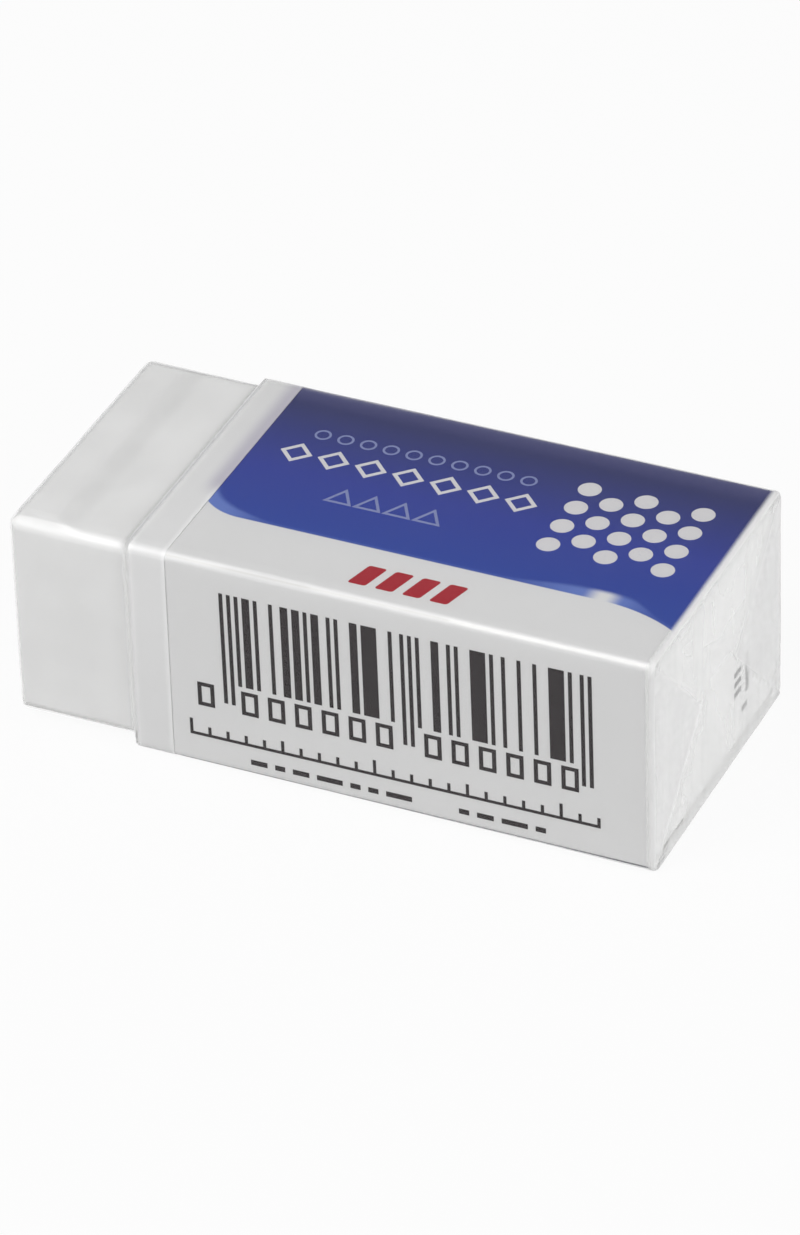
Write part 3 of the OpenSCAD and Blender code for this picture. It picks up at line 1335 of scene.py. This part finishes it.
@dataclass
class FilmWrap(Skin):
    """The clear film, closed by an envelope fold at each end and a lapped seam at the back."""

    off_card: float = 0.12 * MM
    off_block: float = 0.1 * MM
    top_x: float = -10.68 * MM
    foot_x: float = -10.87 * MM
    thickness: float = 0.03 * MM
    fold_r: float = 0.6 * MM
    shoulder_r: float = 0.16 * MM
    foot_r: float = 0.1 * MM
    bare_end_r: float = 0.5 * MM
    covered_end_r: float = 0.28 * MM
    flap_lap: float = 1.6 * MM
    flap_step: float = 0.035 * MM
    flap_reach: float = 0.6
    seam_width: float = 4.0 * MM
    seam_step: float = 0.05 * MM
    seam_y: float = 7.6 * MM
    step_width: float = 0.07 * MM
    end_depth: float = 0.2 * MM
    cell: float = 0.5 * MM
    grid_margins: tuple[Span, ...] = ((0.6 * MM, 0.4 * MM), (1.0 * MM, 1.0 * MM), (1.2 * MM, 1.0 * MM))
    slack: float = 0.035 * MM
    broad_wave: tuple[float, float, float] = (0.16, 0.34, 0.34)
    broad_share: float = 0.6
    fine_wave: tuple[float, float, float] = (0.5, 1.1, 1.1)
    fine_share: float = 0.22
    fine_shift: tuple[float, float, float] = (7.0, 3.0, 5.0)
    pucker_depth: float = 0.022 * MM
    pucker_fade: float = 4.0 * MM
    pucker_start: Span = (0.2 * MM, 1.2 * MM)
    pucker_end: float = 5.0 * MM
    ray_pitch: float = 7.0
    ray_seed: float = 400.0
    strip_x: float = -9.7 * MM
    strip_clear: Span = (2.0 * MM, 1.3 * MM)

    def build(self) -> None:
        """Models the film and lets it stand for the CAD film."""
        low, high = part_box("eraser")
        start_x, end_x = low.x - self.off_block, high.x + self.off_block
        film = self.box(self.top_x, end_x)
        with Bench.edit(film):
            self.step_down(start_x)
            self.round_long_edges()
            self.round_ring(self.top_x, self.shoulder_r, segments=4)
            self.round_ring(self.foot_x, self.foot_r, segments=3)
            self.round_ring(start_x, self.bare_end_r, segments=5)
            self.round_ring(end_x, self.covered_end_r, segments=4)
            self.cut_grid(start_x, end_x)
            self.cut_folds(start_x, end_x)
            self.crumple(film, start_x, end_x)
        bpy.ops.object.shade_smooth()
        Bench.thicken(film, self.thickness)
        Bench.settle(film, "clear_film")
        block = Section.around("eraser", self.off_block)
        places = (start_x, end_x, self.foot_x, block.low_y, block.high_z)
        film.data.materials.append(FilmFinish(*(place * PER_MM for place in places)).material())
        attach(film, WHOLE_OBJECT)
        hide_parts("film_wrap")
        log.info("clear_film: %d faces", len(film.data.polygons))

    def step_down(self, start_x: float) -> None:
        """Extrudes the box in edit mode down a steep step, and along the bare block to its end.

        Args:
            start_x: The film's end on the bare block.
        """
        card = Section.around("sleeve", self.off_card)
        block = Section.around("eraser", self.off_block)
        Bench.pick_faces(lambda c: c.x < self.top_x + NEAR)
        bpy.ops.mesh.extrude_region_move(
            TRANSFORM_OT_translate={"value": (self.foot_x - self.top_x, 0, 0)}
        )
        bpy.ops.transform.resize(
            value=(1, block.width / card.width, block.height / card.height),
            center_override=card.middle,
        )
        bpy.ops.transform.translate(value=block.middle - card.middle)
        bpy.ops.mesh.extrude_region_move(
            TRANSFORM_OT_translate={"value": (start_x - self.foot_x, 0, 0)}
        )

    def cut_grid(self, start_x: float, end_x: float) -> None:
        """Cuts the film in edit mode into cells small enough to crumple.

        Args:
            start_x: The film's end on the bare block.
            end_x: Its end on the sleeve.
        """
        card = Section.around("sleeve", self.off_card)
        spans = ((start_x, end_x), (card.low_y, card.high_y), (card.low_z, card.high_z))
        for axis, (low, high), (after, before) in zip(Axis, spans, self.grid_margins):
            start, end = low + after, high - before
            count = round((end - start) / self.cell)
            Bench.cut(axis, [start + (end - start) * i / count for i in range(count + 1)])

    def cut_folds(self, start_x: float, end_x: float) -> None:
        """Cuts the two ends along their diagonal folds and flap edges, and the back along its seam.

        Args:
            start_x: The film's end on the bare block.
            end_x: Its end on the sleeve.
        """
        card = Section.around("sleeve", self.off_card)
        for x, outline in ((start_x, Section.around("eraser", self.off_block)), (end_x, card)):
            for side in (-1, 1):
                for up in (-1, 1):
                    y = outline.low_y if side < 0 else outline.high_y
                    corner = Vector((x, y, outline.low_z if up < 0 else outline.high_z))
                    normal = Vector((0.0, -side, up)).normalized()
                    for shift in (0.0, self.step_width):
                        Bench.pick_faces(
                            lambda c: abs(c.x - x) < self.end_depth
                            and (c.y - corner.y) * side > -outline.width / 2
                            and (c.z - corner.z) * up > -outline.height * self.flap_reach
                        )
                        bpy.ops.mesh.bisect(plane_co=corner - normal * shift, plane_no=normal)
            self.cut_lap(lambda c: abs(c.x - x) < self.end_depth, outline.middle.z, self.flap_lap)
        self.cut_lap(lambda c: c.y > self.seam_y, card.middle.z, self.seam_width)

    def cut_lap(self, wanted: Callable[[Vector], bool], middle_z: float, width: float) -> None:
        """Cuts faces level along the two edges of an overlap, and again just past each.

        Args:
            wanted: Says from a face's middle whether it is cut.
            middle_z: Height of the overlap's middle.
            width: Width of the overlap.
        """
        for edge in (-1, 1):
            for shift in (0.0, self.step_width):
                Bench.pick_faces(wanted)
                height = middle_z + edge * (width / 2 + shift)
                bpy.ops.mesh.bisect(plane_co=Vector((0, 0, height)), plane_no=Axis.Z.vector)

    def crumple(self, film: bpy.types.Object, start_x: float, end_x: float) -> None:
        """Moves the film's points along its normals: slack waves, flaps, seam and puckers.

        Args:
            film: The film, in edit mode.
            start_x: The film's end on the bare block.
            end_x: Its end on the sleeve.
        """
        shape = bmesh.from_edit_mesh(film.data)
        shape.normal_update()
        card = Section.around("sleeve", self.off_card)
        block = Section.around("eraser", self.off_block)
        seam_edge = self.seam_width / 2
        moves = []
        for vertex in shape.verts:
            place, out = vertex.co, vertex.normal
            outline, end = (block, start_x) if place.x < self.foot_x else (card, end_x)
            loose = 1 - smooth_step(*self.strip_clear, abs(place.x - self.strip_x))
            move = -self.slack * self.wave(place) * loose
            move += self.fold(place, outline) * out.x**2
            move -= self.pucker_depth * self.pucker(place, outline, end) * loose
            seam = smooth_step(seam_edge + self.step_width, seam_edge, abs(place.z - card.middle.z))
            move += self.seam_step * seam * max(0.0, out.y) ** 4
            moves.append(out * move)
        for vertex, move in zip(shape.verts, moves):
            vertex.co += move
        bmesh.update_edit_mesh(film.data)

    def wave(self, place: Vector) -> float:
        """Slack of the film, long along the block and shorter across it.

        Args:
            place: A point of the film.

        Returns:
            0 where it stands off, 1 where it lies closest.
        """
        broad = noise.noise(place * Vector(self.broad_wave) * PER_MM)
        fine = noise.noise(place * Vector(self.fine_wave) * PER_MM + Vector(self.fine_shift))
        return min(1.0, max(0.0, 0.5 + self.broad_share * broad + self.fine_share * fine))

    def fold(self, place: Vector, outline: Section) -> float:
        """Height of an end's flaps over its side tucks: the upper one, with the lower one over it.

        Args:
            place: A point of the end.
            outline: The film's outline there.

        Returns:
            The height.
        """
        from_side = min(place.y - outline.low_y, outline.high_y - place.y)
        reach = (outline.height + self.flap_lap) / 2
        soft = self.step_width

        def flap(depth: float) -> float:
            """Says how much of a flap is there, from the distance to its folded edge."""
            inside = smooth_step(0.0, soft * math.sqrt(2), from_side - depth)
            return inside * smooth_step(reach + soft, reach, depth)

        upper, lower = flap(outline.high_z - place.z), flap(place.z - outline.low_z)
        return self.flap_step * max(2 * lower, upper)

    def pucker(self, place: Vector, outline: Section, end: float) -> float:
        """Rays that the folding pulls in from an end's corners.

        Args:
            place: A point of the film.
            outline: The film's outline there.
            end: The end's place along the block.

        Returns:
            0 to 1, the depth.
        """
        from_end = abs(place.x - end)
        near_y = outline.low_y if place.y < outline.middle.y else outline.high_y
        near_z = outline.low_z if place.z < outline.middle.z else outline.high_z
        across, up = abs(place.y - near_y), abs(place.z - near_z)
        spread = math.hypot(across, up, from_end)
        turn = math.atan2(up + from_end / 2, across + from_end + TINY)
        ray = noise.noise(Vector((turn * self.ray_pitch, near_y * self.ray_seed, near_z * self.ray_seed)))
        fade = math.exp(-spread / self.pucker_fade) * smooth_step(*self.pucker_start, spread)
        return max(0.0, ray) * 2 * fade * smooth_step(self.pucker_end, 0.0, from_end)


@dataclass
class TearStrip(Skin):
    """The milky strip under the film that tears it open, folded round the card's end."""

    off_card: float = 0.05 * MM
    thickness: float = 0.035 * MM
    fold_r: float = 0.54 * MM
    crisp_angle: float = math.radians(40)

    def build(self, sleeve: Sleeve) -> None:
        """Models the strip and lets it stand for the CAD strip.

        Args:
            sleeve: The sleeve that it lies round.
        """
        start_x, end_x = (corner.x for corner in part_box("tear_strip"))
        strip = self.box(start_x, end_x)
        with Bench.edit(strip):
            Bench.clear_faces(lambda c: not start_x + NEAR < c.x < end_x - NEAR)
            self.round_long_edges()
        Bench.thicken(strip, self.thickness)
        bpy.ops.object.shade_smooth_by_angle(angle=self.crisp_angle)
        Bench.settle(strip, "milky_strip")
        strip.data.materials.append(StripFinish(sleeve, start_x * PER_MM, end_x * PER_MM).material())
        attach(strip, WHOLE_OBJECT)
        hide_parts("tear_strip")
        log.info("milky_strip: %d faces", len(strip.data.polygons))


@dataclass
class Block:
    """The rubber block."""

    def dress(self) -> None:
        """Gives the CAD block its finish."""
        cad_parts["eraser"].data.materials[0] = RubberFinish().material()
        log.info("eraser: white rubber")


@dataclass(frozen=True)
class Viewpoint:
    """Where the camera stands, and how it looks at the block."""

    azimuth: float = math.radians(25.16)
    elevation: float = math.radians(34.444)
    roll: float = math.radians(-1.784)
    distance: float = 360.98 * MM
    focal_pixels: float = 7220.8
    long_side_pixels: float = 1235.0
    sensor_mm: float = 36.0
    sight: Span = (10 * MM, 10.0)
    aim: tuple[float, float, float] = (0.0, -0.025 * MM, 6.12 * MM)
    aside: float = -0.171 * MM
    above: float = 0.501 * MM

    def build(self) -> None:
        """Adds the camera and makes it the scene's."""
        level = Vector((math.cos(self.azimuth), math.sin(self.azimuth), 0.0))
        forward = Axis.Z.vector.cross(level)
        back = math.sin(self.elevation) * Axis.Z.vector - math.cos(self.elevation) * forward
        upright = back.cross(level)
        right = math.cos(self.roll) * level + math.sin(self.roll) * upright
        top = math.cos(self.roll) * upright - math.sin(self.roll) * level
        data = bpy.data.cameras.new("camera")
        data.sensor_width = self.sensor_mm
        data.lens = self.focal_pixels * self.sensor_mm / self.long_side_pixels
        data.clip_start, data.clip_end = self.sight
        camera = bpy.data.objects.new("camera", data)
        bpy.context.scene.collection.objects.link(camera)
        turn = Matrix((right, top, back)).transposed()
        place = Vector(self.aim) + self.distance * back - self.aside * right - self.above * top
        camera.matrix_world = Matrix.Translation(place) @ turn.to_4x4()
        bpy.context.scene.camera = camera


@dataclass(frozen=True)
class Softbox:
    """A square soft light that faces the block."""

    name: str
    towards: tuple[float, float, float]
    distance: float
    side: float
    power: float

    def build(self, aim: Vector) -> None:
        """Adds the light.

        Args:
            aim: The point that it faces.
        """
        data = bpy.data.lights.new(self.name, "AREA")
        data.shape = "SQUARE"
        data.size = self.side
        data.energy = self.power
        lamp = bpy.data.objects.new(self.name, data)
        bpy.context.scene.collection.objects.link(lamp)
        direction = Vector(self.towards).normalized()
        lamp.rotation_mode = "QUATERNION"
        lamp.rotation_quaternion = direction.to_track_quat("Z", "Y")
        lamp.location = aim + self.distance * direction
        lamp.visible_camera = False


@dataclass(frozen=True)
class Studio:
    """Pale floor, white surround and soft lights."""

    floor_side: float = 3.0
    floor_colour: Colour = (0.62, 0.62, 0.62)
    floor_grain: float = 0.8
    floor_grey: float = 0.98
    floor_veil: float = 0.945
    ceiling: float = 0.25
    ceiling_span: Span = (0.1, 0.5)
    ambient: float = 0.2
    aim: tuple[float, float, float] = (0.0, 0.0, 6.0 * MM)
    lamps: tuple[Softbox, ...] = (
        Softbox(name="key_light", towards=(-0.34, -0.56, 0.76), distance=0.5, side=0.26, power=1.78),
        Softbox(name="side_light", towards=(0.95, -0.1, 0.35), distance=0.5, side=0.4, power=1.62),
    )

    def build(self) -> None:
        """Adds the floor, the world and the lights."""
        self._floor()
        self._world()
        for lamp in self.lamps:
            lamp.build(Vector(self.aim))

    @staticmethod
    def _seen(recipe: Recipe) -> Value:
        """Tells camera, mirror and see-through rays, at 1, from those that light."""
        camera, glossy, through = (
            recipe.node("ShaderNodeLightPath", output=ray.value) for ray in Lit
        )
        return camera.most(glossy).most(through)

    def _floor(self) -> None:
        """Adds the floor: it looks all but white, and keeps a soft shadow."""
        bpy.ops.object.select_all(action="DESELECT")
        bpy.ops.mesh.primitive_plane_add(size=self.floor_side)
        floor = bpy.context.object
        floor.name = "floor"
        material, recipe = new_material("pale_floor")
        point, *_ = recipe.place()
        paper = recipe.noise(point, self.floor_grain)
        shade = [c * self.floor_grey for c in self.floor_colour]
        diffuse = recipe.node(
            "ShaderNodeBsdfDiffuse", None, {"Color": recipe.mix(paper, self.floor_colour, shade)}
        )
        glow = recipe.node("ShaderNodeEmission", None, {"Color": WHITE_LIGHT, "Strength": 1.0})
        recipe.surface(recipe.blend(self.floor_veil * self._seen(recipe), diffuse, glow))
        floor.data.materials.append(material)

    def _world(self) -> None:
        """Sets the surround: white to look at, dimmer as a light."""
        world = bpy.data.worlds.new("surround")
        bpy.context.scene.world = world
        world.use_nodes = True
        recipe = Recipe(world.node_tree)
        dim = recipe.node(
            "ShaderNodeBackground", None, {"Color": WHITE_LIGHT, "Strength": self.ambient}
        )
        direction = recipe.node("ShaderNodeTexCoord", output="Generated")
        height = recipe.node("ShaderNodeSeparateXYZ", None, {0: direction}, output=2)
        tone = recipe.mix(height.rises(*self.ceiling_span), WHITE_LIGHT[:3], (self.ceiling,) * 3)
        white = recipe.node("ShaderNodeBackground", None, {"Color": tone, "Strength": 1.0})
        recipe.surface(recipe.blend(self._seen(recipe), dim, white), "ShaderNodeOutputWorld")


def main() -> None:
    """Builds the looks, sub-assembly by sub-assembly."""
    logging.basicConfig(level=logging.INFO, format="%(name)s: %(message)s")
    bpy.context.scene.view_settings.view_transform = "Standard"
    Viewpoint().build()
    Studio().build()
    Block().dress()
    sleeve = Sleeve()
    sleeve.dress()
    FrontPrint(sleeve).build()
    TopPrint(sleeve).build()
    EndPrint(sleeve).build()
    TearStrip().build(sleeve)
    FilmWrap().build()


if __name__ == "__main__":
    main()
